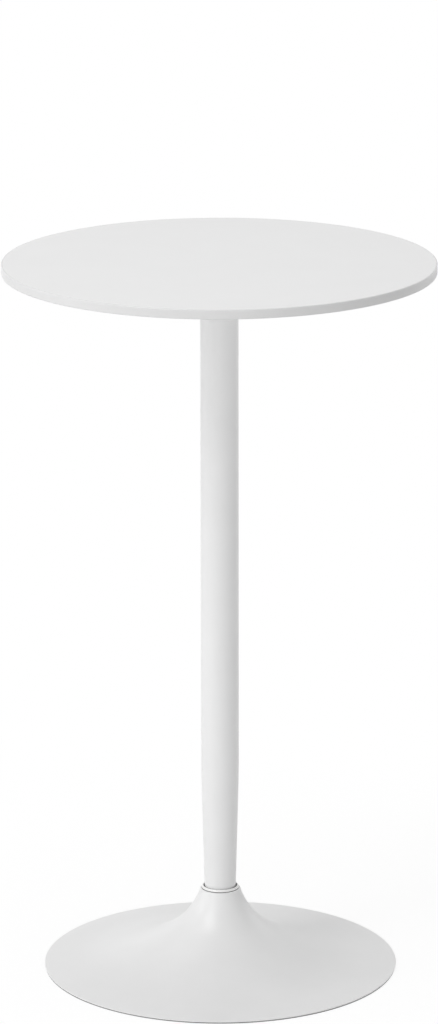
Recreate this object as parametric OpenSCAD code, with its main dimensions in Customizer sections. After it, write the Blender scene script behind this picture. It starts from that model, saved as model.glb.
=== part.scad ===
// Round bar table: a thin laminated top on a tapered column, a trim collar and a trumpet base.
// Millimetres, +Z up. The origin is the centre of the base on the floor.
// One tie rod clamps the counterweight, base shell, column and mounting plate together.

/* [Tabletop] */
// Outer diameter of the tabletop
top_d = 600; // [500:5:700]
// Thickness of the fibreboard core
core_t = 12; // [11:0.5:20]
// Thickness of each laminate sheet
laminate_t = 0.6; // [0.4:0.1:1]
// Thickness of the edge band around the core
edge_t = 2; // [1.6:0.1:3]
// Glue line between the edge band and the core
glue_t = 0.2; // [0.15:0.05:0.4]
// Radius on the upper and lower corner of the edge band
edge_round = 1.4; // [0.5:0.1:1.5]

/* [Mounting plate] */
// Diameter of the round steel plate under the top
plate_d = 240; // [200:5:300]
// Thickness of the plate
plate_t = 4; // [3:0.5:6]
// Distance from the plate's edge to the circle of screws
screw_inset = 20; // [12:1:35]
// Number of plate screws
screw_count = 4; // [3:1:6]
// Chamfer on the lower edge of the plate
plate_chamfer = 1; // [0.5:0.1:1.5]

/* [Plate screws and inserts] */
// Thread diameter of the plate screws
screw_d = 6; // [5:0.5:8]
// Length of screw thread inside the insert
thread_reach = 7; // [5:0.5:8]
// Diameter of the domed screw head
head_d = 11; // [10:0.5:14]
// Height of the screw head
head_h = 3.4; // [2.5:0.1:5]
// Width across the flats of the hexagon socket in the head
socket_af = 4; // [3:0.5:5]
// Depth of the hexagon socket
socket_depth = 2; // [1:0.1:2.2]
// Outer diameter of the flat washers
washer_d = 14; // [12.5:0.5:18]
// Thickness of the flat washers
washer_t = 1.2; // [0.8:0.1:2]
// Outer diameter of the threaded inserts
insert_d = 10; // [9.5:0.5:12]
// Length of the threaded inserts
insert_len = 10; // [8:0.5:10.5]

/* [Column] */
// Diameter of the column tube
column_d = 53; // [50:0.5:60]
// Length of the column tube
column_len = 890; // [700:1:1000]
// Wall thickness of the tube
column_wall = 1.5; // [1:0.1:2.5]
// Diameter of the tube at its lower end
foot_d = 44; // [40:0.5:46]
// Length of the straight cone at the lower end
taper_len = 140; // [80:1:250]
// Length of the bend between the cone and the straight tube
blend_len = 60; // [20:1:120]

/* [Tie rod and spigots] */
// Diameter of the tie rod
rod_d = 12; // [8:0.5:14]
// Height of the spigot inside the top of the column
top_spigot_h = 30; // [20:1:60]
// Depth to which the rod's upper end stays below the top of the spigot
rod_recess = 3; // [1:0.5:10]
// Diameter of the spigot's nose in the mounting plate
nose_d = 26; // [20:0.5:34]
// Height of the spigot inside the foot of the column
foot_spigot_h = 14; // [8:1:30]
// Gap between the bend of the neck and the flange under its ledge
flange_gap = 1; // [0.5:0.1:4]
// Thickness of that flange
flange_t = 5; // [3:0.5:8]

/* [Trim ring] */
// Height of the trim ring
ring_h = 3; // [2.4:0.2:6]
// How far the foot of the ring reaches past the seal
ring_overhang = 0.4; // [0.2:0.1:0.8]
// Open gap between the column and the ring
ring_gap = 1.7; // [1.4:0.1:2.2]
// Thickness of the ring's rounded upper edge
ring_edge_t = 1.4; // [1:0.1:1.8]
// Thickness of the seal under the ring
seal_t = 1; // [0.4:0.1:1.5]
// Distance from the top of the ring down to the top of the seal inside it
seal_drop = 0.5; // [0.3:0.1:1.2]
// Distance from the edge of the flat ledge to the outer edge of the seal
seal_inset = 0.1; // [0.1:0.1:0.6]

/* [Base shell] */
// Diameter of the base
base_d = 500; // [470:5:600]
// Thickness of the spun sheet
sheet_t = 1.5; // [1:0.1:2]
// Slope of the outer disc
disc_angle = 3.5; // [3:0.1:5]
// Radius of the wide flare above the disc
flare_r = 269; // [240:1:285]
// Slope where the wide flare meets the tight flare
flare_angle = 36.4; // [32:0.1:38]
// Radius of the tight flare below the neck
neck_flare_r = 107; // [90:0.5:120]
// Slope at the top of the tight flare
neck_angle = 72.2; // [68:0.1:76]
// Diameter at the top of the tight flare
neck_d = 57.6; // [57:0.2:66]
// Outer radius of the bend from the neck to its ledge
neck_bend_r = 2.2; // [2:0.1:3.2]

/* [Counterweight] */
// Distance from the edge of the wide flare to the edge of the counterweight
weight_inset = 22; // [10:1:60]
// Height of the counterweight's underside above the rim of the shell
weight_lift = 0.4; // [0.2:0.1:1]
// Diameter of the thick middle of the counterweight
weight_boss_d = 160; // [100:5:180]
// Thickness of iron above the recess in the middle
weight_web_t = 9; // [6:0.5:12]
// Gap around the wide washer in the recess
recess_gap = 6; // [4:0.5:10]
// Distance from the end of the tie rod to the mouth of the recess
recess_margin = 0.5; // [0.2:0.1:2]

/* [Tie rod fixings] */
// Diameter of the wide washer under the counterweight
base_washer_d = 42; // [30:1:46]
// Thickness of the wide washer
base_washer_t = 3; // [2:0.5:4]
// Height of the split spring washer
spring_t = 2.5; // [1.5:0.5:3]
// Width of the spring washer's section
spring_w = 4; // [3:0.5:5]
// Width across the flats of the hexagon nut
nut_af = 19; // [18:0.5:22]
// Height of the hexagon nut
nut_h = 10; // [8:0.5:11]
// Length of rod that stands out below the nut
rod_tail = 0.5; // [0:0.1:1]

/* [Floor ring] */
// Height of the rubber ring under the rim
floor_ring_t = 1.6; // [1.2:0.1:4]
// Width of the rubber ring
floor_ring_w = 14; // [8:0.5:20]
// Distance from the rim to the outer edge of the ring
floor_ring_inset = 0.6; // [0.2:0.1:2]

/* [Clearances] */
// Gap between a thread and the bore that holds it
thread_gap = 0.1; // [0.05:0.05:0.2]
// Gap between a plain shank and its hole
hole_gap = 0.3; // [0.1:0.05:0.5]
// Gap between a spigot and the tube around it
spigot_gap = 0.3; // [0.1:0.05:0.5]
// Gap between the counterweight's edge and the sheet above it
weight_gap = 0.15; // [0.1:0.05:0.3]

/* [Hidden] */
$fn = 96;
// A small overshoot that lets a cut pass through a face
eps = 0.5;

// Base shell: the outer surface runs down from the neck through two arcs to a shallow cone.
// A slope is measured from the horizontal, so an arc of radius R from slope a to slope b
// goes out by R (sin a - sin b) and down by R (cos b - cos a).
base_r = base_d / 2;
neck_r = neck_d / 2;
flare_top_r = neck_r + neck_flare_r * (sin(neck_angle) - sin(flare_angle));
disc_r = flare_top_r + flare_r * (sin(flare_angle) - sin(disc_angle));
rim_z = floor_ring_t + sheet_t * cos(disc_angle);
disc_z = rim_z + (base_r - disc_r) * tan(disc_angle);
flare_top_z = disc_z + flare_r * (cos(disc_angle) - cos(flare_angle));
neck_z = flare_top_z + neck_flare_r * (cos(flare_angle) - cos(neck_angle));
bend_center = [
    neck_r - neck_bend_r * sin(neck_angle),
    neck_z - neck_bend_r * cos(neck_angle)
];
ledge_z = bend_center[1] + neck_bend_r;
flare_center = [
    flare_top_r + flare_r * sin(flare_angle),
    flare_top_z + flare_r * cos(flare_angle)
];
neck_flare_center = [
    neck_r + neck_flare_r * sin(neck_angle),
    neck_z + neck_flare_r * cos(neck_angle)
];

// Points along an arc, from one direction to another in degrees.
function arc(center, r, from_dir, to_dir, steps) = [
    for (i = [0 : steps])
        let (dir = from_dir + (to_dir - from_dir) * i / steps)
            center + r * [cos(dir), sin(dir)]
];

// Height of the sheet's inner face at radius r, on the wide flare.
function flare_inside_z(r) =
    flare_center[1] - sqrt(pow(flare_r + sheet_t, 2) - pow(flare_center[0] - r, 2));

// Steps along each bend of the sheet
flare_steps = 24;
bend_steps = 6;

// Column: the tube stands on the ledge of the neck.
column_r = column_d / 2;
foot_r = foot_d / 2;
column_z = ledge_z;
column_top_z = column_z + column_len;
taper_slope = (column_r - foot_r) / (taper_len + blend_len / 2);
blend_steps = 8;

// Outer radius of the tube at height h above its lower end.
function column_r_at(h) =
    h <= taper_len ? foot_r + taper_slope * h
    : h >= taper_len + blend_len ? column_r
    : column_r - taper_slope * pow(taper_len + blend_len - h, 2) / (2 * blend_len);

column_heights = concat(
    [0],
    [for (i = [0 : blend_steps]) taper_len + blend_len * i / blend_steps],
    [column_len]
);

// Tabletop stack
plate_z = column_top_z;
backing_z = plate_z + plate_t;
core_z = backing_z + laminate_t;
surface_z = core_z + core_t;
top_z = surface_z + laminate_t;
core_r = top_d / 2 - edge_t - glue_t;
screw_circle_r = plate_d / 2 - screw_inset;
screw_len = washer_t + plate_t + thread_reach;

// Tie rod and what it passes
rod_hole_d = rod_d + 2 * hole_gap;
top_spigot_r = column_r - column_wall - spigot_gap;
foot_spigot_r = foot_r - column_wall - spigot_gap;
ledge_hole_r = foot_spigot_r + hole_gap;
flange_r = bend_center[0] - flange_gap;
flange_z = ledge_z - sheet_t - flange_t;

// Counterweight: its edge lies just under the sheet of the wide flare.
weight_r = disc_r - weight_inset;
weight_z = floor_ring_t + weight_lift;
weight_t = flare_inside_z(weight_r) - weight_gap - weight_z;
recess_depth = base_washer_t + spring_t + nut_h + rod_tail + recess_margin;
recess_d = base_washer_d + 2 * recess_gap;
base_washer_z = weight_z + recess_depth - base_washer_t;
spring_z = base_washer_z - spring_t;
nut_z = spring_z - nut_h;
rod_z = nut_z - rod_tail;
rod_top_z = column_top_z - rod_recess;

// Trim ring
seal_z = ledge_z;
ring_z = seal_z + seal_t;
ring_bore_r = column_r_at(seal_t + ring_h) + ring_gap;
seal_r = bend_center[0] - seal_inset;
ring_foot_r = seal_r + ring_overhang;
seal_h = seal_t + ring_h - seal_drop;
seal_bore_r = column_r_at(seal_h) + spigot_gap;
seal_sleeve_r = ring_bore_r - hole_gap;

module powder_white() { color([0.93, 0.93, 0.92]) children(); }
module melamine_white() { color([0.95, 0.95, 0.94]) children(); }
module bare_steel() { color([0.68, 0.69, 0.71]) children(); }
module zinc() { color([0.78, 0.78, 0.74]) children(); }

// A washer, ring or tube about the Z axis.
module pipe(outer_d, inner_d, h) {
    difference() {
        cylinder(d = outer_d, h = h);
        translate([0, 0, -eps])
            cylinder(d = inner_d, h = h + 2 * eps);
    }
}

// Places its children once at each plate screw.
module at_screws() {
    for (i = [0 : screw_count - 1])
        rotate([0, 0, 360 * (i + 0.5) / screw_count])
            translate([screw_circle_r, 0, 0])
                children();
}

// A hexagonal prism with its bore left out, measured across the flats.
module hexagon(af, h) {
    cylinder(d = af / cos(30), h = h, $fn = 6);
}

// Fibreboard core with a blind hole for each insert.
module tabletop_core() {
    color([0.72, 0.58, 0.42])
        difference() {
            translate([0, 0, core_z])
                cylinder(r = core_r, h = core_t);
            at_screws()
                translate([0, 0, core_z - eps])
                    cylinder(d = insert_d + 2 * thread_gap, h = insert_len - laminate_t + eps);
        }
}

// Working surface of the table.
module top_laminate() {
    melamine_white()
        translate([0, 0, surface_z])
            cylinder(r = core_r, h = laminate_t);
}

// Balancing sheet on the underside, open where the inserts pass.
module backing_laminate() {
    melamine_white()
        difference() {
            translate([0, 0, backing_z])
                cylinder(r = core_r, h = laminate_t);
            at_screws()
                translate([0, 0, backing_z - eps])
                    cylinder(d = insert_d + 2 * thread_gap, h = laminate_t + 2 * eps);
        }
}

// Plastic band around the core with softened corners.
module edge_band() {
    band_h = top_z - backing_z;
    band_r = top_d / 2 - edge_t;
    corner_r = top_d / 2 - edge_round;
    lower_corner = arc([corner_r, edge_round], edge_round, -90, 0, bend_steps);
    upper_corner = arc([corner_r, band_h - edge_round], edge_round, 0, 90, bend_steps);
    melamine_white()
        translate([0, 0, backing_z])
            rotate_extrude()
                polygon(concat([[band_r, band_h], [band_r, 0]], lower_corner, upper_corner));
}

// Threaded inserts, flush with the underside of the top.
module threaded_inserts() {
    color([0.80, 0.70, 0.42])
        at_screws()
            translate([0, 0, backing_z])
                pipe(insert_d, screw_d + 2 * thread_gap, insert_len);
}

// Round steel plate that carries the top.
module mounting_plate() {
    powder_white()
        translate([0, 0, plate_z])
            difference() {
                union() {
                    cylinder(d1 = plate_d - 2 * plate_chamfer, d2 = plate_d, h = plate_chamfer);
                    translate([0, 0, plate_chamfer])
                        cylinder(d = plate_d, h = plate_t - plate_chamfer);
                }
                translate([0, 0, -eps])
                    cylinder(d = nose_d + 2 * thread_gap, h = plate_t + 2 * eps);
                at_screws()
                    translate([0, 0, -eps])
                        cylinder(d = screw_d + 2 * hole_gap, h = plate_t + 2 * eps);
            }
}

// Flat washers between the screw heads and the plate.
module plate_washers() {
    zinc()
        at_screws()
            translate([0, 0, plate_z - washer_t])
                pipe(washer_d, screw_d + 2 * hole_gap, washer_t);
}

// Screws that hold the top to the plate, with a socket in a domed head.
module plate_screws() {
    head_z = plate_z - washer_t - head_h;
    dome_r = (pow(head_d / 2, 2) + pow(head_h, 2)) / (2 * head_h);
    zinc()
        at_screws()
            translate([0, 0, head_z])
                difference() {
                    union() {
                        intersection() {
                            cylinder(d = head_d, h = head_h);
                            translate([0, 0, dome_r])
                                sphere(r = dome_r);
                        }
                        translate([0, 0, head_h])
                            cylinder(d = screw_d, h = screw_len);
                    }
                    translate([0, 0, -eps])
                        hexagon(socket_af, socket_depth + eps);
                }
}

// Threaded spigot in the top of the column; its nose is welded flush into the plate.
module top_spigot() {
    bare_steel()
        difference() {
            union() {
                translate([0, 0, plate_z - top_spigot_h])
                    cylinder(r = top_spigot_r, h = top_spigot_h);
                translate([0, 0, plate_z - top_spigot_h])
                    cylinder(d = nose_d, h = top_spigot_h + plate_t);
            }
            translate([0, 0, plate_z - top_spigot_h - eps])
                cylinder(d = rod_d + 2 * thread_gap, h = top_spigot_h + plate_t + 2 * eps);
        }
}

// Round steel tube, drawn down to a smaller diameter at its foot.
module column_tube() {
    powder_white()
        translate([0, 0, column_z])
            rotate_extrude()
                polygon(concat(
                    [for (h = column_heights) [column_r_at(h), h]],
                    [for (i = [len(column_heights) - 1 : -1 : 0])
                        [column_r_at(column_heights[i]) - column_wall, column_heights[i]]]
                ));
}

// Rod that clamps the table together, from the nut in the base to the top spigot.
module tie_rod() {
    zinc()
        translate([0, 0, rod_z])
            cylinder(d = rod_d, h = rod_top_z - rod_z);
}

// Sloping collar around the foot of the column, with a rounded upper edge.
module trim_ring() {
    round_r = ring_edge_t / 2;
    crown = arc([ring_bore_r + round_r, ring_h - round_r], round_r, 0, 180, 2 * bend_steps);
    color([0.96, 0.96, 0.95])
        translate([0, 0, ring_z])
            rotate_extrude()
                polygon(concat([[ring_bore_r, 0], [ring_foot_r, 0]], crown));
}

// Dark seal: its flange shows as a thin line under the trim ring, its sleeve centres the ring.
module ring_seal() {
    color([0.12, 0.12, 0.12])
        translate([0, 0, seal_z])
            rotate_extrude()
                polygon([
                    [seal_bore_r, 0],
                    [seal_r, 0],
                    [seal_r, seal_t],
                    [seal_sleeve_r, seal_t],
                    [seal_sleeve_r, seal_h],
                    [seal_bore_r, seal_h]
                ]);
}

// Spun steel trumpet: ledge, neck bend, two flares and a shallow disc with a rounded rim.
module base_shell() {
    down = 270;
    rim_center = [
        base_r - sheet_t / 2,
        rim_z + sheet_t / 2 * (tan(disc_angle) - 1 / cos(disc_angle))
    ];
    powder_white()
        rotate_extrude()
            polygon(concat(
                [[ledge_hole_r, ledge_z]],
                arc(bend_center, neck_bend_r, 90, 90 - neck_angle, bend_steps),
                arc(neck_flare_center, neck_flare_r,
                    down - neck_angle, down - flare_angle, flare_steps),
                arc(flare_center, flare_r, down - flare_angle, down - disc_angle, flare_steps),
                arc(rim_center, sheet_t / 2, 90 - disc_angle, -90 - disc_angle, bend_steps * 2),
                arc(flare_center, flare_r + sheet_t,
                    down - disc_angle, down - flare_angle, flare_steps),
                arc(neck_flare_center, neck_flare_r + sheet_t,
                    down - flare_angle, down - neck_angle, flare_steps),
                arc(bend_center, neck_bend_r - sheet_t, 90 - neck_angle, 90, bend_steps),
                [[ledge_hole_r, ledge_z - sheet_t]]
            ));
}

// Flanged spigot under the neck ledge; it centres the shell and the foot of the column.
module neck_spigot() {
    bare_steel()
        difference() {
            union() {
                translate([0, 0, flange_z])
                    cylinder(r = flange_r, h = flange_t);
                translate([0, 0, flange_z])
                    cylinder(r = foot_spigot_r, h = flange_t + sheet_t + foot_spigot_h);
            }
            translate([0, 0, flange_z - eps])
                cylinder(d = rod_hole_d, h = flange_t + sheet_t + foot_spigot_h + 2 * eps);
        }
}

// Cast iron disc that closes the base and holds the tie rod's nut in a recess.
module counterweight() {
    color([0.25, 0.25, 0.26])
        difference() {
            translate([0, 0, weight_z])
                union() {
                    cylinder(r = weight_r, h = weight_t);
                    cylinder(d = weight_boss_d, h = recess_depth + weight_web_t);
                }
            translate([0, 0, weight_z - eps])
                cylinder(d = recess_d, h = recess_depth + eps);
            translate([0, 0, weight_z])
                cylinder(d = rod_hole_d, h = recess_depth + weight_web_t + eps);
        }
}

// Wide washer that spreads the tie rod's load.
module base_washer() {
    zinc()
        translate([0, 0, base_washer_z])
            pipe(base_washer_d, rod_hole_d, base_washer_t);
}

// Split spring washer, drawn flat as it lies when tightened.
module spring_washer() {
    split_angle = 12;
    bare_steel()
        translate([0, 0, spring_z])
            rotate_extrude(angle = 360 - split_angle)
                translate([rod_hole_d / 2, 0])
                    square([spring_w, spring_t]);
}

// Hexagon nut with its corners chamfered at both faces.
module rod_nut() {
    zinc()
        translate([0, 0, nut_z])
            difference() {
                intersection() {
                    hexagon(nut_af, nut_h);
                    union() {
                        cylinder(r1 = nut_af / 2, r2 = nut_af / 2 + nut_h / 2, h = nut_h / 2);
                        translate([0, 0, nut_h / 2])
                            cylinder(r1 = nut_af / 2 + nut_h / 2, r2 = nut_af / 2, h = nut_h / 2);
                    }
                }
                translate([0, 0, -eps])
                    cylinder(d = rod_d + 2 * thread_gap, h = nut_h + 2 * eps);
            }
}

// Rubber ring under the rim; its upper face follows the slope of the sheet.
module floor_ring() {
    outer_r = base_r - floor_ring_inset;
    inner_r = outer_r - floor_ring_w;
    sheet_under_rim_z = rim_z - sheet_t / cos(disc_angle);
    color([0.55, 0.55, 0.56])
        rotate_extrude()
            polygon([
                [inner_r, 0],
                [outer_r, 0],
                [outer_r, sheet_under_rim_z + (base_r - outer_r) * tan(disc_angle)],
                [inner_r, sheet_under_rim_z + (base_r - inner_r) * tan(disc_angle)]
            ]);
}

tabletop_core();
top_laminate();
backing_laminate();
edge_band();
threaded_inserts();
mounting_plate();
plate_washers();
plate_screws();
top_spigot();
column_tube();
tie_rod();
trim_ring();
ring_seal();
base_shell();
neck_spigot();
counterweight();
base_washer();
spring_washer();
rod_nut();
floor_ring();
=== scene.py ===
"""Round bar table with a laminated top, a tapered column, a trim collar and a trumpet base.

Sizes are in millimetres, and become metres where a mesh is made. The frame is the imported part's: +Z up, with
the origin on the floor under the column.
"""

import logging
import math
from dataclasses import dataclass
from enum import Enum
from typing import ClassVar, Iterable, Sequence

import bmesh
import bpy
from bmesh.types import BMEdge, BMesh, BMVert
from bpy.types import Material, Node, NodeSocket, NodeTree, Object, World
from mathutils import Matrix, Vector


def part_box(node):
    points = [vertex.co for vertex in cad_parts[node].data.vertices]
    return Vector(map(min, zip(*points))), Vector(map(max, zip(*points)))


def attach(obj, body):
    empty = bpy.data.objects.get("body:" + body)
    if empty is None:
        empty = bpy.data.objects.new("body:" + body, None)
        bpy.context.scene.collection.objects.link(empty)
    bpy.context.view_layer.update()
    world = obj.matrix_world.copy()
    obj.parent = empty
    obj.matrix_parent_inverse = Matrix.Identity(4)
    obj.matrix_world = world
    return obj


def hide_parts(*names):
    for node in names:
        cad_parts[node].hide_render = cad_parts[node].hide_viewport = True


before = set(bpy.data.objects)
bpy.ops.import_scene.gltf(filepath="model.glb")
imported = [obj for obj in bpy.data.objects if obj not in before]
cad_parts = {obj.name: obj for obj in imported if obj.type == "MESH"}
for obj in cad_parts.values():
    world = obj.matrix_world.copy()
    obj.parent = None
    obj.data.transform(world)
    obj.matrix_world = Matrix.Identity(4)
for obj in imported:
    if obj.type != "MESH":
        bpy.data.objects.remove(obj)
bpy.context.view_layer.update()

LOG = logging.getLogger("bar_table")
MM = 0.001
BODY = "root"
Z_AXIS = Vector((0.0, 0.0, 1.0))
ORIGIN = Vector((0.0, 0.0, 0.0))
WHITE = (1.0, 1.0, 1.0, 1.0)
Point = tuple[float, float]
Range = tuple[float, float]

# Points that are closer than this are one, in metres.
SAME_PLACE = 1e-6


def span(node: str) -> Range:
    """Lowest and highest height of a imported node, in millimetres."""
    low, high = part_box(node)
    return low.z / MM, high.z / MM


def reach(node: str) -> float:
    """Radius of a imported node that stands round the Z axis, in millimetres."""
    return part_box(node)[1].x / MM


def linear(hex_colour: str) -> tuple[float, float, float, float]:
    """Turn an sRGB hex colour into linear light.

    Args:
        hex_colour: six hex digits.

    Returns:
        Linear red, green and blue, with an alpha of 1.
    """
    channels = [int(hex_colour[i : i + 2], 16) / 255 for i in (0, 2, 4)]
    light = [c / 12.92 if c <= 0.04045 else ((c + 0.055) / 1.055) ** 2.4 for c in channels]
    return (*light, 1.0)


# Shapes


@dataclass(frozen=True)
class Corner:
    """One corner of a section in the XZ plane, with the radius that rounds it."""

    r: float
    z: float
    round: float = 0.0


def flat_section(node: str, inner: float, outer: float, rounds: Sequence[float]) -> list[Corner]:
    """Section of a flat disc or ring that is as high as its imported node.

    Args:
        node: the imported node.
        inner: inner radius, or 0 for a disc.
        outer: outer radius.
        rounds: rounding of the inner low, outer low, outer high and inner high corner.

    Returns:
        The four corners, in that order.
    """
    low, high = span(node)
    places = ((inner, low), (outer, low), (outer, high), (inner, high))
    return [Corner(r, z, rounding) for (r, z), rounding in zip(places, rounds, strict=True)]


def arc(center: Point, radius: float, start: float, end: float, steps: int) -> list[Corner]:
    """Corners along a round stretch of a section.

    Args:
        center: radius and height of the arc's centre.
        radius: the arc's radius.
        start: direction of its first point, in degrees.
        end: direction of its last point, in degrees.
        steps: number of straight pieces that stand for the arc.

    Returns:
        The arc's points as corners with no rounding of their own.
    """
    turns = [math.radians(start + (end - start) * i / steps) for i in range(steps + 1)]
    middle, height = center
    return [Corner(middle + radius * math.cos(turn), height + radius * math.sin(turn)) for turn in turns]


def along(point: Point, slope: float, length: float) -> Point:
    """Go from a point of a section at right angles to a slope.

    Args:
        point: radius and height of the point.
        slope: a slope that falls outwards, in degrees.
        length: how far to go, outwards and up, or inwards and down where it is negative.

    Returns:
        Radius and height of the place that is reached.
    """
    turn = math.radians(slope)
    return point[0] + length * math.sin(turn), point[1] + length * math.cos(turn)


def section_bmesh(corners: Sequence[Corner], round_steps: int) -> BMesh:
    """Draw a section as one flat face and round its corners.

    Args:
        corners: the section's corners in order.
        round_steps: number of straight pieces in each rounded corner.

    Returns:
        A bmesh that holds the face.
    """
    bm = bmesh.new()
    verts = [bm.verts.new((corner.r * MM, 0.0, corner.z * MM)) for corner in corners]
    bm.faces.new(verts)
    for vert, corner in zip(verts, corners, strict=True):
        if corner.round > 0:
            arms = [edge.other_vert(vert).co - vert.co for edge in vert.link_edges]
            half_turn = arms[0].angle(arms[1]) / 2
            bmesh.ops.bevel(
                bm,
                geom=[vert],
                offset=corner.round * MM / math.tan(half_turn),
                offset_type="OFFSET",
                affect="VERTICES",
                segments=round_steps,
                profile=0.5,
                material=-1,
            )
    return bm


def hold_flats(bm: BMesh, margin: float) -> None:
    """Split straight edges near their ends, so that flats shade flat beside a round.

    Args:
        bm: the bmesh that holds the section's edges.
        margin: distance of each split from the edge's end, in metres. Edges under six margins stay whole.
    """
    long_edges = [edge for edge in bm.edges if edge.calc_length() > 6 * margin]
    for edge in long_edges:
        first, last = edge.verts
        near, _ = bmesh.utils.edge_split(edge, first, margin / edge.calc_length())
        rest = next(e for e in last.link_edges if near in e.verts or e is edge)
        bmesh.utils.edge_split(rest, last, margin / rest.calc_length())


def close_up(bm: BMesh) -> None:
    """Merge what meets, and turn the faces outwards."""
    bmesh.ops.remove_doubles(bm, verts=bm.verts[:], dist=SAME_PLACE)
    bmesh.ops.recalc_face_normals(bm, faces=bm.faces[:])


def sweep(bm: BMesh, section: Sequence[BMVert | BMEdge], turns: float, rise: float, steps: int) -> None:
    """Sweep the outline of a section round the Z axis and close the shape up.

    Args:
        bm: the bmesh that holds the section.
        section: the section's vertices and edges.
        turns: how many times it goes round, of which just one is joined to its start.
        rise: how far it climbs on its way.
        steps: number of straight pieces on its way.
    """
    bmesh.ops.spin(
        bm,
        geom=section,
        cent=ORIGIN,
        axis=Z_AXIS,
        dvec=Z_AXIS * (rise * MM / steps),
        angle=math.tau * turns,
        steps=steps,
        use_merge=turns == 1,
        use_duplicate=False,
    )
    close_up(bm)


def turned_bmesh(corners: Sequence[Corner], around: int, round_steps: int = 5) -> BMesh:
    """Turn a closed section about the Z axis.

    Args:
        corners: the section's corners in order.
        around: number of steps in the full turn.
        round_steps: number of straight pieces in each rounded corner.

    Returns:
        A bmesh of the turned solid, with its faces pointing outwards.
    """
    bm = section_bmesh(corners, round_steps)
    bmesh.ops.delete(bm, geom=bm.faces[:], context="FACES_ONLY")
    smallest = min((corner.round for corner in corners if corner.round > 0), default=0.3)
    hold_flats(bm, margin=max(smallest / 2, 0.1) * MM)
    axis_edges = [edge for edge in bm.edges if all(abs(vert.co.x) < SAME_PLACE for vert in edge.verts)]
    bmesh.ops.delete(bm, geom=axis_edges, context="EDGES")
    sweep(bm, bm.verts[:] + bm.edges[:], turns=1, rise=0.0, steps=around)
    return bm


def wound_bmesh(
    corners: Sequence[Corner], turns: float, rise: float, steps: int, round_steps: int = 5
) -> BMesh:
    """Wind a closed section round the Z axis, for part of a turn or for many, and close both ends.

    Args:
        corners: the section's corners in order.
        turns: how many times it goes round.
        rise: how far it climbs on its way.
        steps: number of straight pieces on its way.
        round_steps: number of straight pieces in each rounded corner.

    Returns:
        A bmesh of the wound solid, with its faces pointing outwards.
    """
    bm = section_bmesh(corners, round_steps)
    first = bm.verts[:] + bm.edges[:]
    copied = bmesh.ops.duplicate(bm, geom=bm.faces[:])["geom"]
    last = [item for item in copied if isinstance(item, BMVert)]
    end = Matrix.Translation(Z_AXIS * rise * MM) @ Matrix.Rotation(math.tau * turns, 4, "Z")
    bmesh.ops.transform(bm, matrix=end, verts=last)
    sweep(bm, first, turns, rise, steps)
    return bm


def drilled_disc(
    node: str, radius: float, holes: Iterable[tuple[Matrix, float]], around: int, hole_steps: int = 48
) -> BMesh:
    """Make a flat disc with round holes through it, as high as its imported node.

    Args:
        node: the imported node.
        radius: the disc's radius.
        holes: where each hole is, and its radius.
        around: number of steps round the disc.
        hole_steps: number of steps round each hole.

    Returns:
        A bmesh of the disc, with its faces pointing outwards.
    """
    low, high = span(node)
    bm = bmesh.new()
    bmesh.ops.create_circle(bm, segments=around, radius=radius * MM)
    for place, hole in holes:
        bmesh.ops.create_circle(bm, segments=hole_steps, radius=hole * MM, matrix=place)
    bmesh.ops.triangle_fill(bm, edges=bm.edges[:], use_beauty=True, use_dissolve=False)
    bmesh.ops.translate(bm, verts=bm.verts[:], vec=Z_AXIS * low * MM)
    raised = bmesh.ops.extrude_face_region(bm, geom=bm.faces[:])
    upper = [item for item in raised["geom"] if isinstance(item, BMVert)]
    bmesh.ops.translate(bm, verts=upper, vec=Z_AXIS * (high - low) * MM)
    close_up(bm)
    return bm


def add_ring(bm: BMesh, radius: float, height: float, steps: int) -> list[BMEdge]:
    """Add one level ring of edges round the Z axis.

    Args:
        bm: the bmesh that takes it.
        radius: the ring's radius.
        height: its height.
        steps: number of its edges.

    Returns:
        The ring's edges.
    """
    place = Matrix.Translation(Z_AXIS * height * MM)
    verts = bmesh.ops.create_circle(bm, segments=steps, radius=radius * MM, matrix=place)["verts"]
    return [edge for edge in bm.edges if all(vert in verts for vert in edge.verts)]


def joined(*shapes: BMesh, places: Sequence[Matrix] = (Matrix.Identity(4),)) -> BMesh:
    """Put shapes in one bmesh, each at every one of several places.

    Args:
        shapes: the shapes, which are freed.
        places: where each copy goes.

    Returns:
        A bmesh that holds every copy.
    """
    whole = bmesh.new()
    for shape in shapes:
        for place in places:
            copy = bpy.data.meshes.new("copy")
            shape.to_mesh(copy)
            copy.transform(place)
            whole.from_mesh(copy)
            bpy.data.meshes.remove(copy)
        shape.free()
    return whole


def finish_mesh(name: str, bm: BMesh, sharp_degrees: float = 35.0) -> Object:
    """Turn a bmesh into an object at the origin, smooth but for its sharp edges.

    Args:
        name: the piece's name.
        bm: the bmesh, which is freed.
        sharp_degrees: edges that bend more than this stay sharp.

    Returns:
        The new object, linked to the scene.
    """
    mesh = bpy.data.meshes.new(name)
    bm.to_mesh(mesh)
    bm.free()
    mesh.shade_smooth()
    mesh.set_sharp_from_angle(angle=math.radians(sharp_degrees))
    made = bpy.data.objects.new(name, mesh)
    bpy.context.scene.collection.objects.link(made)
    return made


# Finishes


def fresh_tree(owner: Material | World) -> NodeTree:
    """Turn a material's or a world's nodes on, and clear them.

    Args:
        owner: the material or the world.

    Returns:
        Its empty node tree.
    """
    owner.use_nodes = True
    owner.node_tree.nodes.clear()
    return owner.node_tree


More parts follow.
